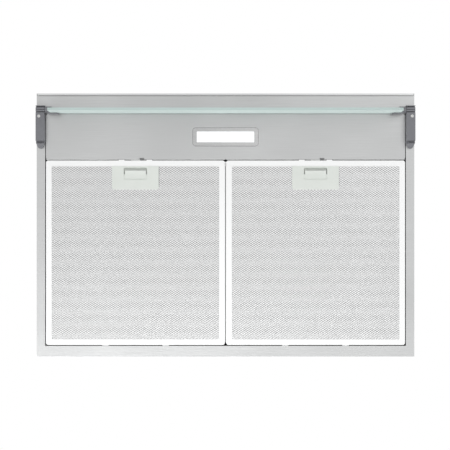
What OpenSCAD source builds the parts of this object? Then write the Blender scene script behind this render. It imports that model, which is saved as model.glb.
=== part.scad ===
// Wall mount range hood, 600 mm wide, seen from below in its usual place over a hob.
// X is to the right, +Y points to the wall, Z is up.
// The origin lies on the wall plane, at mid width, level with the underside of the canopy.

/* [Canopy] */
// Width of the canopy
body_w = 600; // [580:2:640]
// Depth of the canopy from the wall to the front
body_d = 418; // [412:2:440]
// Height of the upright skirt
skirt_h = 60; // [56:1:76]
// Height of the canopy, from its underside to its flat top
canopy_h = 250; // [240:2:290]
// Width of the flat top
top_w = 290; // [290:2:310]
// Depth of the flat top
top_d = 262; // [262:2:280]
// Thickness of the steel sheet
sheet = 1; // [0.8:0.1:1.2]
// Width of the rim along each side of the underside
side_rim = 13.4; // [12.6:0.2:17]
// Width of the rim along the wall
rear_rim = 17; // [15:0.5:22]
// Width of the front rim, fascia included
front_rim = 32; // [31:0.5:36]
// Height of the lip round the opening
lip_h = 12; // [11:0.5:15]
// Distance between the wall screws across the hood
wall_hole_x = 460; // [420:10:480]
// Distance between the wall screws up the wall
wall_hole_z = 40; // [30:1:44]
// Height of the lower wall screws
wall_hole_low = 30; // [26:1:34]
// Diameter of the wall screw holes
wall_hole_dia = 8; // [6:0.5:9]

/* [Front fascia and buttons] */
// Depth of the fascia tray
fascia_d = 4; // [3.6:0.1:5]
// Width of the seam under the fascia
seam = 0.8; // [0.4:0.1:1.2]
// Distance between the push-buttons
button_pitch = 28; // [26:0.5:32]
// Width of a button cap
button_w = 22; // [18:0.5:23]
// Height of a button cap
button_h = 9; // [8:0.5:12]
// How far a button stands proud of the fascia
button_proud = 2.4; // [2.2:0.1:3]
// Travel of a button
button_travel = 2; // [1.5:0.1:2]
// Thickness of the moulded walls behind the fascia
moulding = 2; // [1.6:0.1:2.4]

/* [Light panel and lamp] */
// Depth of the light panel, front to rear
panel_d = 72.6; // [66:0.2:76]
// Gap between the light panel and each side rim
panel_gap = 1.3; // [1:0.1:1.8]
// Width of the lamp bezel
bezel_w = 104; // [96:1:120]
// Depth of the lamp bezel
bezel_d = 29; // [27:0.5:34]
// Width of the visible lens
lens_w = 91; // [80:1:92]
// Depth of the visible lens
lens_d = 17; // [15:0.5:18.5]
// Thickness of the bezel's flange under the panel
bezel_t = 1.2; // [0.8:0.1:1.4]

/* [Glass visor] */
// Drop of the glass below its hinge brackets' underside
visor_drop = 65; // [50:1:70]
// Thickness of the glass
glass_t = 4; // [3.4:0.1:4]
// Width of the hinge brackets
bracket_w = 14; // [13:0.2:14]
// Length of the hinge brackets, front to rear
bracket_l = 68; // [60:1:80]
// Height of the hinge brackets below the canopy
bracket_h = 13.6; // [13.4:0.1:15]
// Diameter of the hinge pins
pin_dia = 4; // [3:0.1:4.4]
// Length of the clip jaws along the glass
jaw_l = 16; // [12:0.5:22]

/* [Filters] */
// Height of the filter cassettes
filter_h = 10; // [9.4:0.2:12]
// Width of the frame border seen from below
border = 9; // [8:0.2:11]
// Thickness of the aluminium frame strip
strip = 0.8; // [0.6:0.1:1]
// Gap between the filters and the rims
filter_gap = 1.4; // [1.2:0.1:1.8]
// Gap between the two filters
centre_gap = 2.2; // [1.6:0.1:3]
// Gap between the filters and the light panel
front_gap = 1.9; // [1.8:0.1:2.4]
// Diamonds across the face net
net_count = 11; // [8:1:11]
// Width of a strand of the face net
strand = 2.2; // [1.6:0.1:3]
// Distance of the rear tabs from the middle of a filter
tab_offset = 48; // [30:1:90]

/* [Latches] */
// Width of the moulded latch plate
latch_plate_w = 74.4; // [66:0.2:84]
// Depth of the moulded latch plate
latch_plate_d = 37; // [36:0.5:44]
// Width of the finger window
window_w = 34.6; // [30:0.2:38]
// Depth of the finger window
window_d = 15; // [14:0.2:16]
// Travel of the latch
latch_travel = 8; // [7:0.5:8]
// Width of the latch tongue
tongue_w = 14; // [10:0.5:18]

/* [Blower] */
// Height of the carrier plate over the underside
plate_z = 92; // [88:1:100]
// Distance of the blower's middle line from the wall
blower_y = 185; // [182:1:200]
// Radius of the large lobe of the scroll
lobe_r = 168; // [150:1:168]
// Radius of the small lobe of the scroll
lobe_small_r = 134; // [124:1:140]
// Distance between the two lobe centres
lobe_span = 92; // [80:1:96]
// Height of the scroll housing
scroll_h = 56; // [52:1:60]
// Thickness of the scroll housing's wall
scroll_t = 2.5; // [2:0.1:3]
// Radius of the impeller
impeller_r = 98; // [88:1:100]
// Height of the impeller
impeller_h = 38; // [34:1:38]
// Number of impeller blades
blades = 32; // [24:1:40]
// Diameter of the motor shaft
shaft_dia = 8; // [6:0.5:10]
// Radius of the motor body
motor_r = 44; // [38:1:46]
// Height of the motor body
motor_h = 42; // [36:1:46]

/* [Outlet and damper] */
// Outer diameter of the outlet collar
collar_dia = 149; // [120:1:150]
// Height of the collar above the canopy
collar_h = 50; // [44:1:60]
// Distance of the collar from the wall
collar_y = 130; // [126:1:132]
// Thickness of the collar's wall
collar_t = 1.6; // [1.2:0.1:2]
// Diameter of the damper pin
damper_pin_dia = 4; // [3:0.2:4.4]
// Thickness of a damper flap
flap_t = 1.2; // [1:0.1:1.6]

/* [Chimney] */
// Width of the lower chimney
chimney_w = 280; // [272:1:284]
// Depth of the lower chimney
chimney_d = 252; // [240:1:256]
// Height of the lower chimney
lower_h = 420; // [380:5:500]
// Height of the upper chimney
upper_h = 420; // [380:5:500]
// How far the upper chimney stands out of the lower one
upper_out = 250; // [220:5:280]
// Clearance between the two chimney tubes
chimney_gap = 0.4; // [0.3:0.1:1]
// Air slots down each side of the upper chimney
slot_count = 7; // [3:1:9]

/* [Hidden] */
$fa = 4;
$fs = 0.6;
// Clearance round pieces that move, and the running fit of pins
gap = 0.3;
run_fit = 0.05;
// Overshoot of cutting shapes
eps = 1;

// Colours
steel = [0.76, 0.77, 0.77];
bright_steel = [0.86, 0.87, 0.87];
zinc = [0.70, 0.72, 0.73];
anodised = [0.95, 0.95, 0.95];
latch_grey = [0.84, 0.87, 0.84];
powder_grey = [0.42, 0.42, 0.44];
glass_clear = [0.80, 0.90, 0.88, 0.5];
dark_plastic = [0.26, 0.27, 0.28];
white_plastic = [0.95, 0.95, 0.93];
black_rubber = [0.12, 0.12, 0.12];
board_green = [0.16, 0.40, 0.26];

// Canopy lines: the half opening, the front wall, and the edges of the underside's opening
open_x = body_w / 2 - side_rim;
front_wall = -body_d + fascia_d;
front_edge = -body_d + front_rim;
rear_edge = -rear_rim;
panel_rear = front_edge + panel_d;
panel_w = 2 * (open_x - panel_gap);
panel_h = lip_h + sheet;

// How far the sloping walls come in for each millimetre of height
side_slope = (body_w - top_w) / 2 / (canopy_h - skirt_h);
front_slope = (-front_wall - top_d) / (canopy_h - skirt_h);
// Horizontal depth of the sheet in the sloping walls
side_cut = sheet * sqrt(1 + side_slope * side_slope);
front_cut = sheet * sqrt(1 + front_slope * front_slope);

// Filters: both are the same part
filter_w = open_x - filter_gap - centre_gap / 2;
filter_front = panel_rear + front_gap;
filter_rear = rear_edge - filter_gap;
filter_d = filter_rear - filter_front;
filter_y = (filter_front + filter_rear) / 2;
filter_x = (filter_w + centre_gap) / 2;
net_t = 0.8;
core_t = 1.2;
core_count = 7;
tab_w = 10;
tab_l = 7.5;
tab_t = 1.5;
tab_z = sheet + gap;
lug_w = 9;
lug_l = 1.4;
lug_offset = 22;

// Latch: the skin of the plate is just below the frame, the slider lies on the skin
latch_skin = 1;
latch_front = filter_front + border;
window_front = latch_front + 4;
insert_l = border - sheet - gap;
slider_z = gap;
slider_t = 2.2;
tongue_z = slider_z + slider_t;
tongue_t = 2.5;
tongue_reach = 5.5;
slider_front = window_front + 1.6;
slider_l = window_d + 1;
slider_w = window_w + 3;
tongue_tip = panel_rear - tongue_reach;
slot_side = 1.2;

// Visor hinge line, close behind the front rim
hinge_y = front_edge - 5.5;
hinge_z = -8.5;
knuckle_r = 5;
glass_front = hinge_y + 1.7;
glass_rear = glass_front + glass_t;
glass_top = hinge_z + 3.5;
pad_t = 0.6;
jaw_front_t = 2;
jaw_rear_t = 1.3;
jaw_top = hinge_z + 2.5;
jaw_h = 18;
bracket_x = body_w / 2 - bracket_w;
bracket_front = hinge_y - 6.5;
nose_r = 4.6;
clip_x = bracket_x - 0.4;
clip_end = 4;
knuckle_w = 10;
glass_half = clip_x - knuckle_w - gap;
screw_head_r = 2.4;
screw_r = 1.6;
screw_y = hinge_y + 10.4;
screw_x = body_w / 2 - 5.2;

// Lamp
bezel_y = front_edge + panel_d / 2 + 0.7;
bezel_neck = 3.2;
bezel_neck_h = 8;
bezel_wall = 1.6;
board_t = 1.6;
led_count = 12;

// Blower
scroll_x = -20;
motor_x = scroll_x - 42;
scroll_top = plate_z;
scroll_bottom = plate_z - scroll_h;
cover_t = 2;
plate_t = 1.2;
plate_top = plate_z + plate_t;
plate_side = 258;
plate_front = -355;
plate_rear = -52;
ear_w = 26;
ear_drop = 14;
outlet_x = scroll_x + lobe_span + 38;
outlet_r = 64;
inlet_r = impeller_r - 12;
bell_r = 7;
bell_t = 1.5;
bell_lip = 2.5;
impeller_top = scroll_top - 8;
impeller_low = impeller_top - impeller_h;
blade_inner = impeller_r - 18;
hub_r = 14;
hub_h = 22;
nut_h = 5;
shaft_low = impeller_top - hub_h - nut_h - 3;
motor_hole_r = 26;
bracket_t = 2;
motor_low = plate_top + bracket_t;
ear_r = motor_r + 10;
motor_screw_r = 2;

// Outlet
collar_r = collar_dia / 2;
collar_foot = 6;
duct_t = 1.5;
seat_h = 12;
flap_z = canopy_h + seat_h + 3;
flap_r = collar_r - collar_t - 1;
flap_hub = damper_pin_dia / 2 + 1.2;

// Chimney
lower_z = canopy_h;
upper_z = lower_z + lower_h + upper_out - upper_h;
upper_w = chimney_w - 2 * (sheet + chimney_gap);
upper_front = -chimney_d + sheet + chimney_gap;
wall_gap = 1;
upper_rear = -wall_gap - sheet - chimney_gap;
return_w = 15;
upstand_h = 20;
fold_w = 12;

// Controls
control_w = 5 * button_pitch + 12;
control_h = 36;
control_z = skirt_h / 2;
control_depth = 14;
button_flange = 1.2;
stem_r = 2.4;
board_y = front_wall + sheet + control_depth - 4;
stem_end = board_y - 2.5 - button_travel - 0.7;

// A rounded rectangle about its middle
module rounded(w, d, r) {
    square([w - 2 * r, d], center = true);
    square([w, d - 2 * r], center = true);
    for (x = [-1, 1], y = [-1, 1]) {
        translate([x * (w / 2 - r), y * (d / 2 - r)]) circle(r);
    }
}

// A box between two corners
module span(low, high) {
    translate(low) cube(high - low);
}

// Upright cylinder from one height to another
module post(x, y, r, z0, z1) {
    translate([x, y, z0]) cylinder(r = r, h = z1 - z0);
}

// A profile in Y and Z, carried along X from x0 to x1
module along_x(x0, x1) {
    translate([x0, 0, 0]) rotate([90, 0, 90]) linear_extrude(x1 - x0) children();
}

// A profile in X and Z, carried towards the wall from y0 to y1
module along_y(y0, y1) {
    translate([0, y1, 0]) rotate([90, 0, 0]) linear_extrude(y1 - y0) children();
}

// The canopy as a solid: an upright skirt with a four-sided slope up to the flat top.
// side_profile and front_profile give its outside, or its inside when cut back by the sheet.
function side_profile(t, cut, low) = [
    [front_wall + t, low],
    [front_wall + t, skirt_h - (front_slope > 0 ? (cut - t) / front_slope : 0)],
    [front_wall + cut + front_slope * (canopy_h - t - skirt_h), canopy_h - t],
    [-t, canopy_h - t],
    [-t, low]
];
function front_profile(t, cut, low) = [
    [-body_w / 2 + t, low],
    [-body_w / 2 + t, skirt_h - (cut - t) / side_slope],
    [-body_w / 2 + cut + side_slope * (canopy_h - t - skirt_h), canopy_h - t],
    [body_w / 2 - cut - side_slope * (canopy_h - t - skirt_h), canopy_h - t],
    [body_w / 2 - t, skirt_h - (cut - t) / side_slope],
    [body_w / 2 - t, low]
];
module canopy_outside() {
    intersection() {
        along_x(-body_w / 2, body_w / 2) polygon(side_profile(0, 0, 0));
        along_y(front_wall, 0) polygon(front_profile(0, 0, 0));
    }
}
module canopy_inside(t, side, front) {
    intersection() {
        along_x(-body_w / 2, body_w / 2) polygon(side_profile(t, front, -eps));
        along_y(front_wall, 0) polygon(front_profile(t, side, -eps));
    }
}

// The egg-shaped form of the scroll: two round lobes and the block between their common tangents
module scroll_form(grow, z0, z1) {
    big = lobe_r + grow;
    small = lobe_small_r + grow;
    tangent = acos((big - small) / lobe_span);
    translate([scroll_x, -blower_y, z0]) {
        cylinder(r = big, h = z1 - z0);
        translate([lobe_span, 0, 0]) cylinder(r = small, h = z1 - z0);
        linear_extrude(z1 - z0) polygon([
            big * [cos(tangent), sin(tangent)],
            [lobe_span, 0] + small * [cos(tangent), sin(tangent)],
            [lobe_span, 0] + small * [cos(tangent), -sin(tangent)],
            big * [cos(tangent), -sin(tangent)]
        ]);
    }
}

module filter_places() {
    for (x = [-filter_x, filter_x]) translate([x, 0, 0]) children();
}

module canopy_shell() color(steel) difference() {
    union() {
        difference() {
            canopy_outside();
            canopy_inside(sheet, side_cut, front_cut);
        }
        // Side walls run forward past the fascia's ends
        for (s = [-1, 1]) {
            span([s * body_w / 2 - (s > 0 ? sheet : 0), -body_d, 0],
                 [s * body_w / 2 + (s > 0 ? 0 : sheet), front_wall, skirt_h]);
        }
        // Underside rim with a lip turned up round the opening
        difference() {
            span([-body_w / 2, front_wall, 0], [body_w / 2, 0, sheet]);
            span([-open_x, front_edge, -eps], [open_x, rear_edge, sheet + eps]);
        }
        difference() {
            span([-open_x - sheet, front_edge - sheet, 0], [open_x + sheet, rear_edge + sheet, lip_h]);
            span([-open_x, front_edge, -eps], [open_x, rear_edge, lip_h + eps]);
        }
    }
    // Notches in the rear lip for the filter tabs
    filter_places() for (x = [-tab_offset, tab_offset]) {
        span([x - tab_w / 2 - 1, rear_edge - eps, sheet], [x + tab_w / 2 + 1, rear_edge + sheet + eps, lip_h + eps]);
    }
    // Outlet, cable gland, wall screws
    post(0, -collar_y, collar_r + gap, canopy_h - sheet - eps, canopy_h + eps);
    post(gland_x, gland_y, gland_r + gap, canopy_h - sheet - eps, canopy_h + eps);
    for (x = [-1, 1], z = [wall_hole_low, wall_hole_low + wall_hole_z]) {
        translate([x * wall_hole_x / 2, eps, z]) rotate([90, 0, 0]) cylinder(d = wall_hole_dia, h = sheet + 2 * eps);
    }
    // Window behind the buttons, and holes for the bracket screws
    span([-control_w / 2 + 4, front_wall - eps, control_z - control_h / 2 + 4],
         [control_w / 2 - 4, front_wall + sheet + eps, control_z + control_h / 2 - 4]);
    for (s = [-1, 1]) post(s * screw_x, screw_y, screw_r, -eps, sheet + eps);
}

module button_shapes(grow) {
    for (i = [-2:2]) translate([i * button_pitch, control_z]) rounded(button_w + 2 * grow, button_h + 2 * grow, 2);
}

module front_fascia() color(steel) difference() {
    half = body_w / 2 - sheet - gap;
    span([-half, -body_d, 0], [half, front_wall, skirt_h]);
    span([-half + sheet, -body_d + sheet, sheet], [half - sheet, front_wall + eps, skirt_h - sheet]);
    // Seam between the fascia and the front rim
    span([-half - eps, front_wall - seam, -eps], [half + eps, front_wall + eps, 2 * sheet]);
    along_y(-body_d - eps, -body_d + sheet + eps) button_shapes(gap);
}

module carrier_plate() color(zinc) difference() {
    union() {
        span([-plate_side, plate_front, plate_z], [plate_side, plate_rear, plate_top]);
        // Ears reach the sloping side walls and are turned down against them
        intersection() {
            difference() {
                canopy_inside(sheet, side_cut, front_cut);
                difference() {
                    canopy_inside(sheet + plate_t, side_cut + plate_t * 1.3, front_cut);
                    span([-body_w / 2, plate_front, plate_z], [body_w / 2, 0, plate_top]);
                }
            }
            for (s = [-1, 1], y = ear_places) {
                span([s > 0 ? plate_side - 8 : -body_w / 2, y - ear_w / 2, plate_z - ear_drop],
                     [s > 0 ? body_w / 2 : -plate_side + 8, y + ear_w / 2, plate_top]);
            }
        }
        // Ties to the rear wall
        for (x = [-1, 1]) {
            span([x * 225 - 20, plate_rear - eps, plate_z], [x * 225 + 20, -sheet, plate_top]);
        }
    }
    post(motor_x, -blower_y, motor_hole_r, plate_z - eps, plate_top + eps);
    post(outlet_x, -blower_y, outlet_r, plate_z - eps, plate_top + eps);
    motor_screw_places() post(0, 0, motor_screw_r, plate_z - eps, plate_top + eps);
}

module light_panel() color(steel) difference() {
    union() {
        translate([0, front_edge + panel_d / 2 + gap / 2, 0]) difference() {
            linear_extrude(panel_h) rounded(panel_w, panel_d - gap, 3);
            translate([0, 0, sheet]) linear_extrude(panel_h) rounded(panel_w - 2 * sheet, panel_d - gap - 2 * sheet, 2);
        }
        // Ears that rest on the side lips
        for (s = [-1, 1], y = [0.3, 0.8]) {
            span([s > 0 ? panel_w / 2 - sheet : -open_x - 5, front_edge + y * panel_d - 9, lip_h],
                 [s > 0 ? open_x + 5 : -panel_w / 2 + sheet, front_edge + y * panel_d + 9, panel_h]);
        }
    }
    translate([0, bezel_y, -eps]) linear_extrude(sheet + 2 * eps) {
        rounded(bezel_w - 2 * bezel_neck, bezel_d - 2 * bezel_neck, 3);
    }
    // Slots for the latch tongues, and a small drain notch beside each
    filter_places() {
        span([-tongue_w / 2 - slot_side, panel_rear - sheet - eps, tongue_z - gap],
             [tongue_w / 2 + slot_side, panel_rear + eps, tongue_z + tongue_t + gap]);
        span([tongue_w / 2 - 1, panel_rear - 2 * sheet, -eps], [tongue_w / 2 + 7, panel_rear + eps, sheet + eps]);
    }
}

module led_bezel() color(bright_steel) translate([0, bezel_y, 0]) difference() {
    neck_w = bezel_w - 2 * bezel_neck;
    neck_d = bezel_d - 2 * bezel_neck;
    union() {
        translate([0, 0, -bezel_t]) linear_extrude(bezel_t) rounded(bezel_w, bezel_d, 5);
        linear_extrude(bezel_neck_h) rounded(neck_w, neck_d, 3);
    }
    translate([0, 0, -bezel_t - eps]) linear_extrude(bezel_neck_h) rounded(lens_w + 0.4, lens_d + 0.4, 1.5);
    translate([0, 0, sheet]) linear_extrude(bezel_neck_h) rounded(neck_w - 2 * bezel_wall, neck_d - 2 * bezel_wall, 1.5);
}

module led_lens() color(white_plastic) translate([0, bezel_y, 0]) {
    translate([0, 0, 0.4 - bezel_t]) linear_extrude(bezel_t + sheet) rounded(lens_w, lens_d, 1.5);
    translate([0, 0, sheet]) linear_extrude(1.4) {
        rounded(bezel_w - 2 * bezel_neck - 2 * bezel_wall - 0.4, bezel_d - 2 * bezel_neck - 2 * bezel_wall - 0.4, 1.5);
    }
}

module led_board() color(board_green) translate([0, bezel_y, bezel_neck_h]) {
    linear_extrude(board_t) rounded(bezel_w - 2 * bezel_neck, bezel_d - 2 * bezel_neck, 1.5);
    for (i = [0:led_count - 1]) {
        translate([(i - (led_count - 1) / 2) * 7, 0, -0.4]) cube([3, 3, 1.8], center = true);
    }
}

module led_driver() color(white_plastic) translate([150, bezel_y, sheet]) difference() {
    linear_extrude(22) rounded(118, 34, 3);
    // Cooling slots across the top
    for (i = [-4:4]) {
        translate([i * 10, 0, 22]) cube([4, 22, 3], center = true);
    }
}

// Side view of a hinge bracket: square at the front, ramped up to the rim at the rear
module bracket_profile() {
    rear = bracket_front + bracket_l;
    polygon([
        [bracket_front, 0], [bracket_front, -3], [bracket_front + 1.5, -bracket_h + 4],
        [hinge_y - 1, -bracket_h], [rear - 10, -bracket_h], [rear - 5, -bracket_h + 3],
        [rear, -3], [rear, 0]
    ]);
}

// The left hinge bracket, at its place
module hinge_bracket() color(powder_grey) difference() {
    rear = bracket_front + bracket_l;
    mid = -body_w / 2 + bracket_w / 2;
    intersection() {
        along_x(-body_w / 2, -bracket_x) bracket_profile();
        // Plan view: full width at the front, drawn in to a round nose at the rear
        union() {
            translate([0, 0, -bracket_h - eps]) linear_extrude(bracket_h + 2 * eps) polygon([
                [-body_w / 2, bracket_front], [-body_w / 2, rear - 9], [mid - nose_r, rear - nose_r],
                [mid + nose_r, rear - nose_r], [-bracket_x, rear - 9], [-bracket_x, bracket_front]
            ]);
            post(mid, rear - nose_r, nose_r, -bracket_h - eps, eps);
        }
    }
    translate([-body_w / 2 - eps, hinge_y, hinge_z]) rotate([0, 90, 0]) cylinder(d = pin_dia, h = bracket_w + 2 * eps);
    post(-screw_x, screw_y, screw_r, -bracket_h - eps, eps);
    // Moulded groove across the rear end, and a step behind the front plate
    span([-body_w / 2 - eps, rear - 13, -bracket_h - eps], [-bracket_x + eps, rear - 11.5, -bracket_h + 0.8]);
    span([-body_w / 2 - eps, hinge_y + 3.4, -bracket_h - eps], [-bracket_x + eps, hinge_y + 4.4, -bracket_h + 0.8]);
}
module hinge_bracket_left() hinge_bracket();
module hinge_bracket_right() mirror([1, 0, 0]) hinge_bracket();

module hinge_pins() color(bright_steel) for (s = [-1, 1]) {
    far = body_w / 2 - 1;
    near = clip_x - knuckle_w + 2;
    translate([s > 0 ? near : -far, hinge_y, hinge_z]) rotate([0, 90, 0]) cylinder(d = pin_dia, h = far - near);
}

module bracket_screws() color(bright_steel) for (s = [-1, 1]) {
    post(s * screw_x, screw_y, screw_r, -bracket_h, 6);
    difference() {
        post(s * screw_x, screw_y, screw_head_r, -bracket_h - 1.2, -bracket_h);
        translate([s * screw_x, screw_y, -bracket_h - 1.2]) cube([0.7, 3.4, 1.2], center = true);
    }
}

// The left clip: a knuckle on the pin and two jaws round the end of the glass
module visor_clip() color(powder_grey) difference() {
    front = glass_front - pad_t - jaw_front_t;
    back = glass_rear + pad_t + jaw_rear_t;
    inner = -clip_x + knuckle_w;
    union() {
        translate([-clip_x, hinge_y, hinge_z]) rotate([0, 90, 0]) cylinder(r = knuckle_r, h = knuckle_w);
        span([inner - clip_end, front, jaw_top - jaw_h], [inner, back, jaw_top]);
        // Front jaw with a rounded end, and the shorter rear jaw
        along_y(front, front + jaw_front_t) jaw_face(inner - clip_end, jaw_l);
        along_y(back - jaw_rear_t, back) jaw_face(inner - clip_end, jaw_l - 3);
    }
    translate([-clip_x - eps, hinge_y, hinge_z]) rotate([0, 90, 0]) {
        cylinder(r = pin_dia / 2 + run_fit, h = knuckle_w - 2 + eps + gap);
    }
}
module jaw_face(x, reach) {
    translate([x, jaw_top - jaw_h]) square([reach + clip_end - 4, jaw_h]);
    translate([x + reach + clip_end - 8, jaw_top - jaw_h + 4]) square([8, jaw_h - 8]);
    for (z = [4, jaw_h - 4]) translate([x + reach + clip_end - 4, jaw_top - z]) circle(4);
}
module visor_clip_left() visor_clip();
module visor_clip_right() mirror([1, 0, 0]) visor_clip();

module clip_pads() color(black_rubber) for (s = [-1, 1], y = [glass_front - pad_t, glass_rear]) {
    low = glass_half - jaw_l + 6;
    span([s > 0 ? low : -glass_half, y, jaw_top - jaw_h + 2], [s > 0 ? glass_half : -low, y + pad_t, jaw_top - 2]);
}

module glass_visor() color(glass_clear) {
    corner = 8;
    low = glass_top - visor_drop;
    along_y(glass_front, glass_rear) {
        translate([-glass_half, low + corner]) square([2 * glass_half, visor_drop - corner]);
        translate([-glass_half + corner, low]) square([2 * (glass_half - corner), visor_drop]);
        for (s = [-1, 1]) translate([s * (glass_half - corner), low + corner]) circle(corner);
    }
}

// The left filter's parts are built about the filter's own middle line and moved to their place
module filter_frame() color(anodised) difference() {
    union() {
        translate([0, filter_y, 0]) linear_extrude(filter_h) rounded(filter_w, filter_d, 3.5);
        // Rear tabs, and the small lugs at the front edge
        for (x = [-tab_offset, tab_offset]) {
            span([x - tab_w / 2, filter_rear - strip, tab_z], [x + tab_w / 2, filter_rear + tab_l, tab_z + tab_t]);
        }
        for (x = [-lug_offset, lug_offset]) {
            span([x - lug_w / 2, filter_front - lug_l, 0], [x + lug_w / 2, filter_front + strip, 2 * strip]);
        }
    }
    // Hollow of the folded strip, open to the inside
    translate([0, filter_y, strip]) linear_extrude(filter_h - 2 * strip) {
        rounded(filter_w - 2 * strip, filter_d - 2 * strip, 2.7);
    }
    translate([0, filter_y, -eps]) linear_extrude(filter_h + 2 * eps) {
        rounded(filter_w - 2 * border, filter_d - 2 * border, 1.5);
    }
    // Way through for the latch tongue
    span([-tongue_w / 2 - gap, filter_front - eps, tongue_z - gap],
         [tongue_w / 2 + gap, filter_front + strip + eps, tongue_z + tongue_t + gap]);
}

// A flat sheet of expanded metal: diamonds in staggered rows, set out from the window's middle
module net(count, width, rim) {
    win_w = filter_w - 2 * border;
    win_d = filter_d - 2 * border;
    pitch_x = (win_w - rim) / count;
    rows = round(win_d / pitch_x);
    pitch_y = (win_d - rim) / rows;
    difference() {
        translate([0, filter_y]) square([filter_w - 2 * strip - 2 * gap, filter_d - 2 * strip - 2 * gap], center = true);
        translate([0, filter_y]) for (half = [0, 1]) {
            for (i = [0:count - 1 - half], j = [0:rows - 1 - half]) {
                translate([(i + half / 2 - (count - 1) / 2) * pitch_x, (j + half / 2 - (rows - 1) / 2) * pitch_y]) {
                    polygon([
                        [pitch_x / 2 - width * 0.7, 0], [0, pitch_y / 2 - width * 0.7],
                        [-pitch_x / 2 + width * 0.7, 0], [0, -pitch_y / 2 + width * 0.7]
                    ]);
                }
            }
        }
        // Room for the latch plate
        translate([0, latch_front + latch_plate_d / 2 - border]) {
            square([latch_plate_w + 2 * gap, latch_plate_d + 2 * border + 2 * gap], center = true);
        }
    }
}
module filter_mesh() color(bright_steel) translate([0, 0, strip]) linear_extrude(net_t) net(net_count, strand, 2);
module filter_core() color(zinc) translate([0, 0, filter_h - strip - core_t]) {
    linear_extrude(core_t) net(core_count, strand, 2);
}

module latch_plate() color(latch_grey) difference() {
    union() {
        translate([0, latch_front + latch_plate_d / 2, -latch_skin]) linear_extrude(filter_h - strip + latch_skin) {
            rounded(latch_plate_w, latch_plate_d, 2.5);
        }
        // Square front corners that meet the frame's border
        span([-latch_plate_w / 2, latch_front, -latch_skin], [latch_plate_w / 2, latch_front + 3, filter_h - strip]);
        // Insert held between the two folds of the frame
        span([-latch_plate_w / 2 + 4, latch_front - insert_l, strip], [latch_plate_w / 2 - 4, latch_front + 1, filter_h - strip]);
    }
    // Finger window in the skin
    translate([0, window_front + window_d / 2, -latch_skin - eps]) linear_extrude(latch_skin + 2 * eps) {
        rounded(window_w, window_d, 2.5);
    }
    // Pocket for the slider, and the channel for its tongue
    span([-slider_w / 2 - gap, slider_front - gap, 0],
         [slider_w / 2 + gap, slider_front + slider_l + latch_travel + gap, tongue_z + tongue_t + gap]);
    span([-tongue_w / 2 - gap, latch_front - border, tongue_z - gap],
         [tongue_w / 2 + gap, slider_front + eps, tongue_z + tongue_t + gap]);
    // Hollow back, with a cross wall left in place
    for (s = [-1, 1]) {
        span([s > 0 ? slider_w / 2 + 2.5 : -latch_plate_w / 2 + 1.5, latch_front + 5, 0.6],
             [s > 0 ? latch_plate_w / 2 - 1.5 : -slider_w / 2 - 2.5, latch_front + latch_plate_d - 1.5, filter_h]);
    }
}

// The slider: a plate behind the window, a finger ridge in it, and the tongue over the light panel's flange
module latch() color(latch_grey) {
    span([-slider_w / 2, slider_front, slider_z], [slider_w / 2, slider_front + slider_l, tongue_z]);
    span([-tongue_w / 2, tongue_tip, tongue_z], [tongue_w / 2, slider_front + 14, tongue_z + tongue_t]);
    difference() {
        span([-window_w / 2 + 0.8, slider_front, -latch_skin + 0.2], [window_w / 2 - 0.8, slider_front + 5.4, slider_z + 0.1]);
        // The ridge falls away towards the rear
        translate([0, slider_front + 1.8, -latch_skin + 0.2]) rotate([18, 0, 0]) translate([-window_w, 0, -3]) {
            cube([2 * window_w, 8, 3]);
        }
    }
}

module filter_frame_left() translate([-filter_x, 0, 0]) filter_frame();
module filter_frame_right() translate([filter_x, 0, 0]) filter_frame();
module filter_mesh_left() translate([-filter_x, 0, 0]) filter_mesh();
module filter_mesh_right() translate([filter_x, 0, 0]) filter_mesh();
module filter_core_left() translate([-filter_x, 0, 0]) filter_core();
module filter_core_right() translate([filter_x, 0, 0]) filter_core();
module latch_plate_left() translate([-filter_x, 0, 0]) latch_plate();
module latch_plate_right() translate([filter_x, 0, 0]) latch_plate();
module latch_left() translate([-filter_x, 0, 0]) latch();
module latch_right() translate([filter_x, 0, 0]) latch();

module blower_housing() color(dark_plastic) difference() {
    scroll_form(0, scroll_bottom, scroll_top);
    scroll_form(-scroll_t, scroll_bottom - eps, scroll_top - scroll_t);
    post(motor_x, -blower_y, motor_hole_r, scroll_top - scroll_t - eps, scroll_top + eps);
    post(outlet_x, -blower_y, outlet_r, scroll_top - scroll_t - eps, scroll_top + eps);
    motor_screw_places() post(0, 0, motor_screw_r, scroll_top - scroll_t - eps, scroll_top + eps);
}

module blower_cover() color(dark_plastic) {
    low = scroll_bottom - cover_t;
    difference() {
        scroll_form(0, low, scroll_bottom);
        post(motor_x, -blower_y, inlet_r, low - eps, scroll_bottom + eps);
    }
    // Bell mouth: a quarter round that turns the air up into the impeller, with a short straight lip
    translate([motor_x, -blower_y, low]) rotate_extrude() {
        translate([inlet_r, bell_r]) difference() {
            circle(bell_r);
            circle(bell_r - bell_t);
            translate([0, -bell_r - eps]) square(2 * bell_r + 2 * eps);
            translate([-bell_r - eps, 0]) square(2 * bell_r + 2 * eps);
        }
        translate([inlet_r - eps / 2, 0]) square([2, bell_t]);
        translate([inlet_r - bell_r, bell_r - eps / 2]) square([bell_t, bell_lip]);
    }
}

module inlet_grille() color(dark_plastic) {
    rings = 5;
    bars = 8;
    bar = 2;
    outer = inlet_r + 6;
    translate([motor_x, -blower_y, scroll_bottom - cover_t - 3]) linear_extrude(3) {
        for (i = [1:rings]) difference() {
            circle(outer * i / rings);
            circle(outer * i / rings - (i == rings ? 6 : bar));
        }
        for (i = [0:bars - 1]) rotate(i * 360 / bars) translate([outer / rings - 1, -bar / 2]) {
            square([outer * (1 - 1 / rings) - 2, bar]);
        }
    }
}

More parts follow.
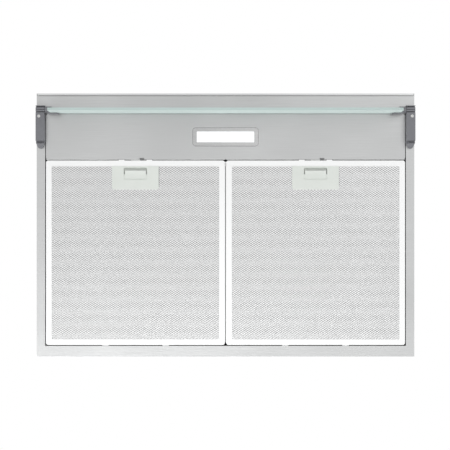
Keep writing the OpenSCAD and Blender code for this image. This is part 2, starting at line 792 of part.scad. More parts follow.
// One forward-curved blade, as a thin curved strip in plan
module blade_shape() {
    steps = 5;
    sweep = 14;
    half = 0.55;
    function radius(i) = blade_inner + (impeller_r - 1 - blade_inner) * i / steps;
    function turn(i) = sweep * pow(i / steps, 2) - sweep * 0.55 * i / steps;
    function at(i, side) = radius(i) * [cos(turn(i)), sin(turn(i))]
        + side * half * [-sin(turn(i)), cos(turn(i))];
    polygon(concat([for (i = [0:steps]) at(i, -1)], [for (i = [steps:-1:0]) at(i, 1)]));
}

module impeller() color(dark_plastic) translate([motor_x, -blower_y, 0]) difference() {
    union() {
        post(0, 0, impeller_r, impeller_top - 2, impeller_top);
        post(0, 0, hub_r, impeller_top - hub_h, impeller_top);
        difference() {
            post(0, 0, impeller_r, impeller_low, impeller_low + 2);
            post(0, 0, blade_inner, impeller_low - eps, impeller_low + 2 + eps);
        }
        for (i = [0:blades - 1]) rotate(i * 360 / blades) {
            translate([0, 0, impeller_low + 1]) linear_extrude(impeller_h - 2) blade_shape();
        }
        // Webs under the hub plate
        for (i = [0:5]) rotate(i * 60) span([hub_r - 2, -1, impeller_top - 12], [blade_inner - 20, 1, impeller_top - 1]);
    }
    post(0, 0, shaft_dia / 2, impeller_top - hub_h - eps, impeller_top + eps);
}

module motor_shaft() color(bright_steel) {
    post(motor_x, -blower_y, shaft_dia / 2, shaft_low, motor_low + motor_h - 4);
}

module impeller_nut() color(bright_steel) translate([motor_x, -blower_y, impeller_top - hub_h - nut_h]) difference() {
    cylinder(d = shaft_dia * 1.9, h = nut_h, $fn = 6);
    translate([0, 0, -eps]) cylinder(d = shaft_dia, h = nut_h + 2 * eps);
}

module motor_screw_places() {
    for (i = [0:2]) translate([motor_x, -blower_y, 0]) rotate(90 + i * 120) translate([ear_r, 0, 0]) children();
}

module motor() color(zinc) translate([motor_x, -blower_y, motor_low]) difference() {
    union() {
        // Lower bell, laminated core and upper bell
        cylinder(r = motor_r - 4, h = 13);
        translate([0, 0, 13]) cylinder(r = motor_r, h = motor_h - 26);
        translate([0, 0, motor_h - 13]) cylinder(r = motor_r - 4, h = 8);
        translate([0, 0, motor_h - 5]) cylinder(r1 = motor_r - 4, r2 = motor_r - 9, h = 5, $fn = 64);
    }
    translate([0, 0, -eps]) cylinder(r = shaft_dia / 2 + run_fit, h = motor_h - 3.5 + eps);
    // Cooling windows round the upper bell
    for (i = [0:9]) rotate(i * 36) translate([motor_r - 8, -5, motor_h - 11]) cube([8, 10, 4]);
}

module motor_bracket() color(zinc) difference() {
    union() {
        post(motor_x, -blower_y, motor_r - 2, plate_top, motor_low);
        motor_screw_places() {
            post(0, 0, 7, plate_top, motor_low);
            span([-14, -7, plate_top], [0, 7, motor_low]);
        }
    }
    post(motor_x, -blower_y, motor_hole_r - 6, plate_top - eps, motor_low + eps);
    motor_screw_places() post(0, 0, motor_screw_r, plate_top - eps, motor_low + eps);
}

module motor_screws() color(bright_steel) motor_screw_places() {
    post(0, 0, motor_screw_r, scroll_top - scroll_t - 3, motor_low);
    difference() {
        post(0, 0, 4, motor_low, motor_low + 2.6);
        span([-5, -0.6, motor_low + 1.6], [5, 0.6, motor_low + 4]);
    }
}

module capacitor() color(white_plastic) {
    r = 17.5;
    translate([-205, -100, plate_top + r]) rotate([0, 90, 0]) {
        cylinder(r = r, h = 62);
        translate([0, 0, 62]) cylinder(r = r - 5, h = 4);
    }
    // Clip round the can, on its foot
    difference() {
        union() {
            span([-184, -124, plate_top], [-164, -76, plate_top + 2]);
            translate([-184, -100, plate_top + r]) rotate([0, 90, 0]) cylinder(r = r + 1, h = 20);
        }
        span([-185, -125, plate_top - 5], [-163, -75, plate_top]);
    }
}

module terminal_box() color(white_plastic) difference() {
    span([-135, -112, plate_top], [-45, -56, plate_top + 34]);
    span([-133, -110, plate_top + 2], [-47, -58, plate_top + 34 + eps]);
    // Cable entries
    for (x = [-110, -70]) translate([x, -50, plate_top + 20]) rotate([90, 0, 0]) cylinder(r = 6, h = 14);
}

module terminal_box_lid() color(white_plastic) {
    span([-136, -113, plate_top + 34], [-44, -55, plate_top + 36]);
    difference() {
        span([-132.7, -109.7, plate_top + 30], [-47.3, -58.3, plate_top + 34]);
        span([-131, -108, plate_top + 29], [-49, -60, plate_top + 34]);
    }
}

gland_x = -110;
gland_y = -40;
gland_r = 8;
gland_bore = 4.5;
module cable_gland() color(dark_plastic) translate([gland_x, gland_y, canopy_h]) difference() {
    union() {
        translate([0, 0, -sheet - 5]) cylinder(r = gland_r, h = 22);
        cylinder(r = gland_r + 4, h = 5, $fn = 6);
        translate([0, 0, -sheet - 5]) cylinder(r = gland_r + 3.5, h = 5, $fn = 6);
        translate([0, 0, 5]) cylinder(r = gland_r + 1.5, h = 9);
    }
    translate([0, 0, -sheet - 5 - eps]) cylinder(r = gland_bore, h = 22 + 2 * eps);
}

// The leaning duct from the scroll's outlet to the collar
module duct_form(grow, over) {
    hull() {
        translate([outlet_x, -blower_y, plate_top - over]) cylinder(r = outlet_r + grow, h = 4 + over, $fn = 32);
        translate([0, -collar_y, canopy_h - sheet - 8]) cylinder(r = collar_r - 6 + grow, h = 8 + over, $fn = 32);
    }
}
module outlet_duct() color(dark_plastic) difference() {
    union() {
        duct_form(duct_t, 0);
        post(outlet_x, -blower_y, outlet_r + 9, plate_top, plate_top + 2);
    }
    duct_form(0, eps);
}

module outlet_collar() color(dark_plastic) translate([0, -collar_y, canopy_h]) difference() {
    union() {
        translate([0, 0, -sheet]) cylinder(r = collar_r, h = collar_h + sheet);
        cylinder(r = collar_r + 12, h = 2);
    }
    // Bore, narrower below the flaps' seat
    translate([0, 0, -sheet - eps]) cylinder(r = collar_r - 7, h = collar_h + 3 * eps);
    translate([0, 0, -sheet - eps]) cylinder(r = collar_r - collar_t, h = seat_h - 2 + sheet + eps);
    translate([0, 0, seat_h + 2.1]) cylinder(r = collar_r - collar_t, h = collar_h);
    translate([0, collar_r + eps, flap_z - canopy_h]) rotate([90, 0, 0]) cylinder(d = damper_pin_dia, h = 2 * collar_r + 2 * eps);
}

module damper_pin() color(bright_steel) {
    translate([0, -collar_y + collar_r, flap_z]) rotate([90, 0, 0]) cylinder(d = damper_pin_dia, h = 2 * collar_r);
}

// The left flap, with knuckles that share the pin with the right flap's
module damper_flap() color(zinc) translate([0, -collar_y, flap_z]) difference() {
    union() {
        intersection() {
            translate([0, 0, -flap_t / 2]) cylinder(r = flap_r, h = flap_t);
            span([-flap_r, -flap_r, -flap_t], [-flap_hub - 0.2, flap_r, flap_t]);
        }
        for (y = flap_knuckles) {
            translate([0, y + 9, 0]) rotate([90, 0, 0]) cylinder(r = flap_hub, h = 18);
            span([-flap_hub - 1, y - 9, -flap_t / 2], [0, y + 9, flap_t / 2]);
        }
    }
    translate([0, flap_r, 0]) rotate([90, 0, 0]) cylinder(r = damper_pin_dia / 2 + run_fit, h = 2 * flap_r);
}
flap_knuckles = [-40, 10];
module damper_flap_left() damper_flap();
module damper_flap_right() translate([0, -2 * collar_y, 0]) rotate(180) damper_flap();

// Three walls and two narrow returns at the rear, as a chimney tube is folded
module tube_plan(w, front, rear) {
    difference() {
        translate([-w / 2, front]) square([w, rear - front]);
        translate([-w / 2 + sheet, front + sheet]) square([w - 2 * sheet, rear - front - 2 * sheet]);
        translate([-w / 2 + return_w, rear - 2 * sheet]) square([w - 2 * return_w, 3 * sheet]);
    }
}

module chimney_lower() color(steel) difference() {
    translate([0, 0, lower_z]) linear_extrude(lower_h) tube_plan(chimney_w, -chimney_d, -wall_gap);
    for (s = [-1, 1]) chimney_screw_hole(s);
}
module chimney_screw_hole(s) {
    translate([s * chimney_w / 2 - 4, -60, lower_z + upstand_h / 2 + 1]) rotate([0, 90, 0]) cylinder(r = 2, h = 8);
}

module chimney_upper() color(steel) difference() {
    translate([0, 0, upper_z]) linear_extrude(upper_h) tube_plan(upper_w, upper_front, upper_rear);
    // Air slots near the top of both sides
    for (i = [0:slot_count - 1]) {
        translate([-chimney_w, upper_front + 60, upper_z + upper_h - 40 - i * 14]) cube([2 * chimney_w, 110, 5]);
    }
}

// Upstand on the canopy's top that the lower chimney is screwed to
module chimney_bracket_bottom() color(zinc) difference() {
    half = chimney_w / 2 - sheet;
    front = -chimney_d + sheet;
    union() {
        difference() {
            span([-half, front, lower_z], [half, -20, lower_z + upstand_h]);
            span([-half + 1.2, front + 1.2, lower_z - eps], [half - 1.2, 0, lower_z + upstand_h + eps]);
        }
        difference() {
            span([-half, front, lower_z], [half, -20, lower_z + 1.2]);
            span([-half + fold_w, front + fold_w, lower_z - eps], [half - fold_w, 0, lower_z + 1.2 + eps]);
        }
    }
    for (s = [-1, 1]) chimney_screw_hole(s);
}

// Bracket that carries the upper chimney on the wall
module chimney_bracket_top() color(zinc) {
    half = upper_w / 2 - sheet;
    top = upper_z + upper_h - 10;
    rear = upper_rear - sheet;
    difference() {
        span([-half, rear - 60, top - 24], [half, rear, top]);
        span([-half + 1.5, rear - 60 - eps, top - 24 - eps], [half - 1.5, rear - 1.5, top + eps]);
        // Screw slots in the back plate
        for (x = [-90, 90]) {
            translate([x, eps, top - 12]) rotate([90, 0, 0]) linear_extrude(20) rounded(14, 6, 2.9);
        }
    }
}

module chimney_screws() color(bright_steel) for (s = [-1, 1]) {
    z = lower_z + upstand_h / 2 + 1;
    translate([s * chimney_w / 2, -60, z]) rotate([0, s * 90, 0]) {
        cylinder(r = 3.6, h = 1.6);
        translate([0, 0, -6]) cylinder(r = 2, h = 6.5);
    }
}

module button_frame() color(dark_plastic) difference() {
    back = front_wall + sheet;
    union() {
        difference() {
            span([-control_w / 2, back, control_z - control_h / 2],
                 [control_w / 2, back + control_depth, control_z + control_h / 2]);
            span([-control_w / 2 + moulding, back + moulding, control_z - control_h / 2 + moulding],
                 [control_w / 2 - moulding, back + control_depth + eps, control_z + control_h / 2 - moulding]);
        }
        // Bosses that the board is seated on
        for (x = [-1, 1], z = [-1, 1]) {
            translate([x * (control_w / 2 - 7), board_y, control_z + z * (control_h / 2 - 7)]) {
                rotate([90, 0, 0]) cylinder(r = 3, h = board_y - back);
            }
        }
    }
    for (i = [-2:2]) translate([i * button_pitch, back - eps, control_z]) {
        rotate([-90, 0, 0]) cylinder(r = stem_r + gap, h = moulding + 2 * eps);
    }
}

module control_board() color(board_green) {
    half_w = control_w / 2 - moulding - 0.2;
    half_h = control_h / 2 - moulding - 0.2;
    span([-half_w, board_y, control_z - half_h], [half_w, board_y + board_t, control_z + half_h]);
    // A small switch behind each button
    for (i = [-2:2]) {
        span([i * button_pitch - 3, board_y - 2.5, control_z - 3], [i * button_pitch + 3, board_y + 0.5, control_z + 3]);
    }
}

// A push-button: cap, flange behind the fascia, and stem
module button(i) color(bright_steel) translate([i * button_pitch, 0, control_z]) {
    flange_front = -body_d + sheet + gap;
    along_y(-body_d - button_proud, flange_front + 0.5) rounded(button_w, button_h, 2);
    along_y(flange_front, flange_front + button_flange) rounded(button_w + 3, button_h + 3, 2);
    translate([0, flange_front, 0]) rotate([-90, 0, 0]) cylinder(r = stem_r, h = stem_end - flange_front);
}
module button_off() button(-2);
module button_low() button(-1);
module button_medium() button(0);
module button_high() button(1);
module button_light() button(2);

// Places of the carrier plate's ears along the side walls
ear_places = [-256, -66];

canopy_shell();
front_fascia();
carrier_plate();
light_panel();
led_bezel();
led_lens();
led_board();
led_driver();
hinge_bracket_left();
hinge_bracket_right();
hinge_pins();
bracket_screws();
visor_clip_left();
visor_clip_right();
clip_pads();
glass_visor();
filter_frame_left();
filter_frame_right();
filter_mesh_left();
filter_mesh_right();
filter_core_left();
filter_core_right();
latch_plate_left();
latch_plate_right();
latch_left();
latch_right();
blower_housing();
blower_cover();
inlet_grille();
impeller();
motor_shaft();
impeller_nut();
motor();
motor_bracket();
motor_screws();
capacitor();
terminal_box();
terminal_box_lid();
cable_gland();
outlet_duct();
outlet_collar();
damper_pin();
damper_flap_left();
damper_flap_right();
chimney_lower();
chimney_upper();
chimney_bracket_bottom();
chimney_bracket_top();
chimney_screws();
button_frame();
control_board();
button_off();
button_low();
button_medium();
button_high();
button_light();
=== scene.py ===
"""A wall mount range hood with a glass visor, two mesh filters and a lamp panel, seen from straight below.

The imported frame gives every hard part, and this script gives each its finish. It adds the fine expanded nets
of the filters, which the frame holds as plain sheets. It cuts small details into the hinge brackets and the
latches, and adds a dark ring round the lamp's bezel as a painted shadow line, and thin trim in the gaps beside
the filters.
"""
import math

import bmesh
import bpy
from mathutils import Matrix, Vector


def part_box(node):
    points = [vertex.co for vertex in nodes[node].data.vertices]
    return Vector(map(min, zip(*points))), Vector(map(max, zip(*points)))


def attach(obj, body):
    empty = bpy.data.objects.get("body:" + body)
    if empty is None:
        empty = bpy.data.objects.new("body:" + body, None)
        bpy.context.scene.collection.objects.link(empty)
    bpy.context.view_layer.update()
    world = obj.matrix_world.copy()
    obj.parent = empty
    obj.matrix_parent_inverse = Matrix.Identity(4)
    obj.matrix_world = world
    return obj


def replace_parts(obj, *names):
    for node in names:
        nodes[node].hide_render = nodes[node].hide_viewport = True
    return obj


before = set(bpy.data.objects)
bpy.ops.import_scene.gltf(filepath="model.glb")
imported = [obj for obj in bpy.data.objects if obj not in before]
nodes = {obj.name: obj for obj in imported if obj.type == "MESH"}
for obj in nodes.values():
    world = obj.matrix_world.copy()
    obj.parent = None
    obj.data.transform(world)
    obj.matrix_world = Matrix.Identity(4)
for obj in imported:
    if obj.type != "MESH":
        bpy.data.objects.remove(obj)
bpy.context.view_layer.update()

MM = 0.001
SIDES = ("left", "right")


# Colours and shader nodes

def tone(code):
    """An sRGB hex colour as linear RGBA."""
    parts = [int(code[i:i + 2], 16) / 255 for i in (1, 3, 5)]
    return [c / 12.92 if c <= 0.04045 else ((c + 0.055) / 1.055) ** 2.4 for c in parts] + [1.0]


def add(tree, kind, inputs=None, **settings):
    """Adds a shader node, with its settings, and its inputs as values or as links from other sockets."""
    made = tree.nodes.new("ShaderNode" + kind)
    for key, value in settings.items():
        setattr(made, key, value)
    for key, value in (inputs or {}).items():
        if isinstance(value, bpy.types.NodeSocket):
            tree.links.new(value, made.inputs[key])
        else:
            made.inputs[key].default_value = value
    return made


def new_material(name):
    """An empty material and its node tree."""
    made = bpy.data.materials.new(name)
    made.use_nodes = True
    made.node_tree.nodes.clear()
    return made, made.node_tree


def finish_material(tree, shader, volume=None):
    """Joins a shader, and a volume where there is one, to the material's output."""
    inputs = {"Surface": shader}
    if volume:
        inputs["Volume"] = volume
    add(tree, "OutputMaterial", inputs)


def even(size):
    """Grain of the same size along X, Y and Z, given in millimetres and turned to metres."""
    return (size * MM,) * 3


def pattern(tree, stretch, detail=2.0, rough=0.5):
    """Noise on object coordinates: stretch gives the grain's size along X, Y and Z in metres."""
    place = add(tree, "TexCoord")
    sized = add(tree, "Mapping", {"Vector": place.outputs["Object"], "Scale": [1 / s for s in stretch]})
    return add(tree, "TexNoise", {
        "Vector": sized.outputs["Vector"],
        "Scale": 1.0,
        "Detail": detail,
        "Roughness": rough,
    })


def spread(tree, value, low, high, start=0.3, end=0.7):
    """Maps a pattern's middle range to the range from low to high."""
    return add(tree, "MapRange", {
        "Value": value,
        "From Min": start,
        "From Max": end,
        "To Min": low,
        "To Max": high,
    })


def shade(tree, value, dark, light):
    """Mixes two hex colours by a pattern."""
    mixed = add(tree, "Mix", {"Factor": value, 6: tone(dark), 7: tone(light)}, data_type="RGBA")
    return mixed.outputs[2]


def relief(tree, value, depth):
    """A bump from a pattern, whose depth is in millimetres."""
    return add(tree, "Bump", {"Height": value, "Distance": depth * MM, "Strength": 1.0}).outputs["Normal"]


# Materials

def brushed_stainless(name, grain, dark, light, roughness=(0.30, 0.40)):
    """Stainless sheet with a belt-brushed grain. The real lines are 0.05 mm apart; they are drawn 0.6 mm
    apart, so that the eye gets the soft streaks along the grain."""
    made, tree = new_material(name)
    streaks = pattern(tree, grain, 3.0, 0.6)
    clouds = pattern(tree, even(160), 1.0)
    blend = add(tree, "Math", {0: streaks.outputs["Fac"], 1: clouds.outputs["Fac"]}, operation="MULTIPLY")
    amount = spread(tree, blend.outputs["Value"], 0.0, 1.0, 0.15, 0.35)
    rough = spread(tree, streaks.outputs["Fac"], *roughness)
    steel = add(tree, "BsdfPrincipled", {
        "Base Color": shade(tree, amount.outputs["Result"], dark, light),
        "Metallic": 1.0,
        "Roughness": rough.outputs["Result"],
        "Normal": relief(tree, streaks.outputs["Fac"], 0.03),
    })
    finish_material(tree, steel.outputs["BSDF"])
    return made


def plated_steel():
    """Bright zinc-plated steel, turned or pressed, with faint handling marks."""
    made, tree = new_material("plated_steel")
    marks = pattern(tree, even(1.5))
    rough = spread(tree, marks.outputs["Fac"], 0.18, 0.30)
    steel = add(tree, "BsdfPrincipled", {
        "Base Color": shade(tree, marks.outputs["Fac"], "#D2D3D2", "#E8E8E6"),
        "Metallic": 1.0,
        "Roughness": rough.outputs["Result"],
        "Normal": relief(tree, marks.outputs["Fac"], 0.02),
    })
    finish_material(tree, steel.outputs["BSDF"])
    return made


def galvanised_steel(name, dark, light):
    """Hot-dip galvanised sheet: zinc crystals about 9 mm across, each a little lighter or darker."""
    made, tree = new_material(name)
    place = add(tree, "TexCoord")
    spangle = add(tree, "TexVoronoi", {"Vector": place.outputs["Object"], "Scale": 1 / (9 * MM)})
    grey = add(tree, "RGBToBW", {"Color": spangle.outputs["Color"]})
    frost = pattern(tree, even(1.2))
    rough = spread(tree, grey.outputs["Val"], 0.32, 0.52, 0.0, 1.0)
    zinc = add(tree, "BsdfPrincipled", {
        "Base Color": shade(tree, grey.outputs["Val"], dark, light),
        "Metallic": 0.85,
        "Roughness": rough.outputs["Result"],
        "Normal": relief(tree, frost.outputs["Fac"], 0.04),
    })
    finish_material(tree, zinc.outputs["BSDF"])
    return made


def anodised_aluminium():
    """Satin anodised aluminium strip: near white, with a fine even frost left by etching."""
    made, tree = new_material("anodised_aluminium")
    frost = pattern(tree, even(0.8), 1.0)
    rough = spread(tree, frost.outputs["Fac"], 0.52, 0.60)
    strip = add(tree, "BsdfPrincipled", {
        "Base Color": shade(tree, frost.outputs["Fac"], "#F6F7F7", "#FDFDFD"),
        "Metallic": 0.85,
        "Roughness": rough.outputs["Result"],
        "Normal": relief(tree, frost.outputs["Fac"], 0.01),
    })
    finish_material(tree, strip.outputs["BSDF"])
    return made


def expanded_aluminium(name, dark, light):
    """Slit and stretched aluminium foil: bright mill finish with drawn streaks along each strand."""
    made, tree = new_material(name)
    streaks = pattern(tree, (4 * MM, 0.6 * MM, 0.6 * MM))
    rough = spread(tree, streaks.outputs["Fac"], 0.30, 0.45)
    foil = add(tree, "BsdfPrincipled", {
        "Base Color": shade(tree, streaks.outputs["Fac"], dark, light),
        "Metallic": 1.0,
        "Roughness": rough.outputs["Result"],
        "Normal": relief(tree, streaks.outputs["Fac"], 0.02),
    })
    finish_material(tree, foil.outputs["BSDF"])
    return made


def moulded_plastic(name, dark, light, roughness, texture):
    """Injection moulded ABS with a spark-eroded texture, whose grain is given in millimetres."""
    made, tree = new_material(name)
    grain = pattern(tree, even(texture))
    clouds = pattern(tree, even(30), 1.0)
    rough = spread(tree, grain.outputs["Fac"], roughness - 0.05, roughness + 0.05)
    shell = add(tree, "BsdfPrincipled", {
        "Base Color": shade(tree, clouds.outputs["Fac"], dark, light),
        "Roughness": rough.outputs["Result"],
        "IOR": 1.53,
        "Normal": relief(tree, grain.outputs["Fac"], 0.03),
    })
    finish_material(tree, shell.outputs["BSDF"])
    return made


def powder_coat():
    """Dark grey polyester powder coat on steel, with its orange peel about 1.5 mm across."""
    made, tree = new_material("powder_coat")
    peel = pattern(tree, even(1.5), 1.0)
    speckle = pattern(tree, even(0.4))
    coat = add(tree, "BsdfPrincipled", {
        "Base Color": shade(tree, speckle.outputs["Fac"], "#797A7F", "#8B8C91"),
        "Roughness": 0.42,
        "IOR": 1.5,
        "Normal": relief(tree, peel.outputs["Fac"], 0.08),
    })
    finish_material(tree, coat.outputs["BSDF"])
    return made


def toughened_glass():
    """Float glass: clear through its two faces, and milky blue-green at its ground edges, where its iron
    shows. Seen almost edge on, its faces turn pale blue-green with a painted sheen."""
    made, tree = new_material("toughened_glass")
    place = add(tree, "TexCoord")
    ripple = pattern(tree, even(120), 1.0)
    pane = add(tree, "BsdfPrincipled", {
        "Base Color": tone("#FBFFFE"),
        "Roughness": 0.02,
        "IOR": 1.52,
        "Transmission Weight": 1.0,
        "Normal": relief(tree, ripple.outputs["Fac"], 0.2),
    })
    grit = pattern(tree, even(0.6))
    ground = add(tree, "BsdfPrincipled", {
        "Base Color": shade(tree, grit.outputs["Fac"], "#D2E5E2", "#E2F0EE"),
        "Roughness": 0.5,
        "IOR": 1.52,
        "Transmission Weight": 0.3,
        "Normal": relief(tree, grit.outputs["Fac"], 0.03),
    })
    # Seen almost edge on, the faces turn to a pale diffuse blue-green. The tint is the iron's, along the long
    # way
    #     through the pane, and the brightness is a painted sheen that stands in for light carried inside the
    #     glass
    painted_sheen = add(tree, "BsdfDiffuse", {"Color": tone("#F0FFFC")})
    grazing = add(tree, "LayerWeight", {"Blend": 0.5})
    amount = spread(tree, grazing.outputs["Facing"], 0.0, 0.9, 0.75, 0.90)
    clear = add(tree, "MixShader", {
        0: amount.outputs["Result"], 1: pane.outputs["BSDF"], 2: painted_sheen.outputs["BSDF"],
    })
    # The two faces look along Y, and every other side of the pane is a ground edge
    normal = add(tree, "SeparateXYZ", {"Vector": place.outputs["Normal"]})
    flat = add(tree, "Math", {0: normal.outputs["Y"]}, operation="ABSOLUTE")
    face = add(tree, "Math", {0: flat.outputs["Value"], 1: 0.7}, operation="GREATER_THAN")
    mixed = add(tree, "MixShader", {
        0: face.outputs["Value"], 1: ground.outputs["BSDF"], 2: clear.outputs["Shader"],
    })
    tint = add(tree, "VolumeAbsorption", {"Color": tone("#C4F4EB"), "Density": 4.0})
    finish_material(tree, mixed.outputs["Shader"], tint.outputs["Volume"])
    return made


def opal_diffuser():
    """Opal acrylic over the lamp, lit from behind: almost even white, a little brighter at each lamp chip."""
    made, tree = new_material("opal_diffuser")
    glow = pattern(tree, (8 * MM, 30 * MM, 30 * MM), 0.0)
    lit = spread(tree, glow.outputs["Fac"], 0.58, 0.66)
    lens = add(tree, "BsdfPrincipled", {
        "Base Color": tone("#C4C8C8"),
        "Roughness": 0.35,
        "IOR": 1.49,
        "Emission Color": tone("#FFFFFF"),
        "Emission Strength": lit.outputs["Result"],
    })
    finish_material(tree, lens.outputs["BSDF"])
    return made


def soft_rubber():
    """Black EPDM rubber, matt, with a dusty bloom."""
    made, tree = new_material("soft_rubber")
    bloom = pattern(tree, even(3))
    pad = add(tree, "BsdfPrincipled", {
        "Base Color": shade(tree, bloom.outputs["Fac"], "#1C1C1D", "#2A2A2B"),
        "Roughness": 0.8,
        "IOR": 1.52,
        "Normal": relief(tree, bloom.outputs["Fac"], 0.05),
    })
    finish_material(tree, pad.outputs["BSDF"])
    return made


def circuit_board():
    """Glass-fibre board under green solder mask, with the copper tracks showing as a paler grid."""
    made, tree = new_material("circuit_board")
    place = add(tree, "TexCoord")
    tracks = add(tree, "TexBrick", {
        "Vector": place.outputs["Object"],
        "Color1": tone("#1E5B34"),
        "Color2": tone("#215F38"),
        "Mortar": tone("#2F7A48"),
        "Scale": 1.0,
        "Mortar Size": 0.4 * MM,
        "Brick Width": 11 * MM,
        "Row Height": 4 * MM,
    })
    board = add(tree, "BsdfPrincipled", {
        "Base Color": tracks.outputs["Color"],
        "Roughness": 0.3,
        "IOR": 1.5,
        "Normal": relief(tree, tracks.outputs["Fac"], 0.03),
    })
    finish_material(tree, board.outputs["BSDF"])
    return made


# Grain sizes of brushed sheet along X, Y and Z: level on the canopy, upright on the chimney
LEVEL_GRAIN = (60 * MM, 0.6 * MM, 0.6 * MM)
UPRIGHT_GRAIN = (0.6 * MM, 0.6 * MM, 60 * MM)

canopy_steel = brushed_stainless("canopy_brushed_stainless", LEVEL_GRAIN, "#CECFCF", "#D9DADA")
fascia_steel = brushed_stainless("fascia_brushed_stainless", LEVEL_GRAIN, "#E0E1E1", "#E9EAEA")
panel_steel = brushed_stainless("panel_brushed_stainless", LEVEL_GRAIN, "#CCCDCD", "#D4D5D5")
chimney_steel = brushed_stainless("chimney_brushed_stainless", UPRIGHT_GRAIN, "#C6C7C7", "#D1D2D2")
button_steel = brushed_stainless("button_brushed_stainless", LEVEL_GRAIN, "#C6C7C7", "#DCDCDC", (0.22, 0.30))
plated = plated_steel()
galvanised = galvanised_steel("galvanised_steel", "#BFC3C5", "#DEE1E2")
# The carrier plate is the same galvanised sheet, painted darker as the shade it lies in behind the filters
shaded_plate_zinc = galvanised_steel("carrier_galvanised_steel_painted_shade", "#8E9294", "#ACAFB1")
anodised = anodised_aluminium()
face_foil = expanded_aluminium("face_net_aluminium", "#F8F9F9", "#FFFFFF")
# The inner nets are the same bright foil as the face net, painted darker as the shade that falls inside the
# filter
shaded_inner_foil = expanded_aluminium("inner_net_aluminium_painted_shade", "#74777A", "#919496")
latch_plastic = moulded_plastic("latch_abs", "#EDF2EC", "#F5F9F4", 0.45, 0.6)
blower_plastic = moulded_plastic("blower_abs", "#5A5C5F", "#66686B", 0.5, 0.9)
white_plastic = moulded_plastic("housing_abs", "#DFDFDB", "#EAEAE6", 0.4, 0.7)
black_plastic = moulded_plastic("trim_abs", "#2B2C2E", "#343538", 0.45, 0.7)
coated = powder_coat()
glass = toughened_glass()
opal = opal_diffuser()
rubber = soft_rubber()
board = circuit_board()

FINISHES = [
    (canopy_steel, ["canopy_shell"]),
    (fascia_steel, ["front_fascia"]),
    (panel_steel, ["light_panel"]),
    (chimney_steel, ["chimney_lower", "chimney_upper"]),
    (button_steel, ["led_bezel", "button_off", "button_low", "button_medium", "button_high", "button_light"]),
    (plated, ["hinge_pins", "bracket_screws", "motor_shaft", "impeller_nut", "motor_screws", "damper_pin",
              "chimney_screws"]),
    (shaded_plate_zinc, ["carrier_plate"]),
    (galvanised, ["motor", "motor_bracket", "damper_flap_left", "damper_flap_right",
                  "chimney_bracket_bottom", "chimney_bracket_top"]),
    (anodised, ["filter_frame_left", "filter_frame_right"]),
    (face_foil, ["filter_mesh_left", "filter_mesh_right"]),
    (shaded_inner_foil, ["filter_core_left", "filter_core_right"]),
    (latch_plastic, ["latch_plate_left", "latch_plate_right", "latch_left", "latch_right"]),
    (blower_plastic, ["blower_housing", "blower_cover", "outlet_duct", "outlet_collar", "inlet_grille",
                      "impeller"]),
    (white_plastic, ["led_driver", "capacitor", "terminal_box", "terminal_box_lid"]),
    (black_plastic, ["cable_gland", "button_frame"]),
    (coated, ["hinge_bracket_left", "hinge_bracket_right", "visor_clip_left", "visor_clip_right"]),
    (glass, ["glass_visor"]),
    (opal, ["led_lens"]),
    (rubber, ["clip_pads"]),
    (board, ["led_board", "control_board"]),
]
for finish, names in FINISHES:
    for name in names:
        nodes[name].data.materials.clear()
        nodes[name].data.materials.append(finish)


# Fine nets of the filters

# Diamonds of the face net and of the coarser nets inside it, as width and depth, and their strands and foil
FACE_CELL = (5.2 * MM, 3.46 * MM)
FACE_STRAND = 1.22 * MM
INNER_CELL = (11 * MM, 6.7 * MM)
INNER_STRAND = 0.6 * MM
FOIL = 0.4 * MM
# How far a bond stands above or below the middle of its net, in thicknesses of the foil
BOND_RISE = 0.4
# The lower inner net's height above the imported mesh's underside, and how far the upper one lies aside
INNER_HEIGHT = 2.2 * MM
INNER_SHIFT = (2.3 * MM, 1.7 * MM)
# How far the nets' cut ends reach into the latch plate, and the radius of the plate's rear corners
NET_TUCK = 0.8 * MM
PLATE_CORNER = 4 * MM


def corners(geom):
    """The vertices among what a bmesh operator gives back."""
    return [v for v in geom if isinstance(v, bmesh.types.BMVert)]


def zigzag_ribbon(bm, cell, strand, periods):
    """One ribbon of expanded foil from x = 0: a flat bar that swings to the far bond and back each period."""
    swing = (cell[1] / 2 - strand) / 2
    rise = BOND_RISE * FOIL
    end = bmesh.ops.create_grid(bm, x_segments=1, y_segments=1, size=0.5)["verts"]
    bmesh.ops.scale(bm, vec=(strand, FOIL, 1), verts=end)
    # The end stands upright: its X turns to Y and its Y to Z
    bmesh.ops.transform(bm, matrix=Matrix(((0, 0, 1), (1, 0, 0), (0, 1, 0))).to_4x4(), verts=end)
    bmesh.ops.translate(bm, vec=(0, -swing, -rise), verts=end)
    tip = list(bm.faces)
    for step in range(2 * periods):
        way = 1 if step % 2 == 0 else -1
        drawn = bmesh.ops.extrude_face_region(bm, geom=tip)["geom"]
        if step:
            # The last stretch's end would stay as a wall inside the ribbon
            bmesh.ops.delete(bm, geom=tip, context="FACES_ONLY")
        bmesh.ops.translate(bm, vec=(cell[0] / 2, way * 2 * swing, way * 2 * rise), verts=corners(drawn))
        tip = [f for f in drawn if isinstance(f, bmesh.types.BMFace)]


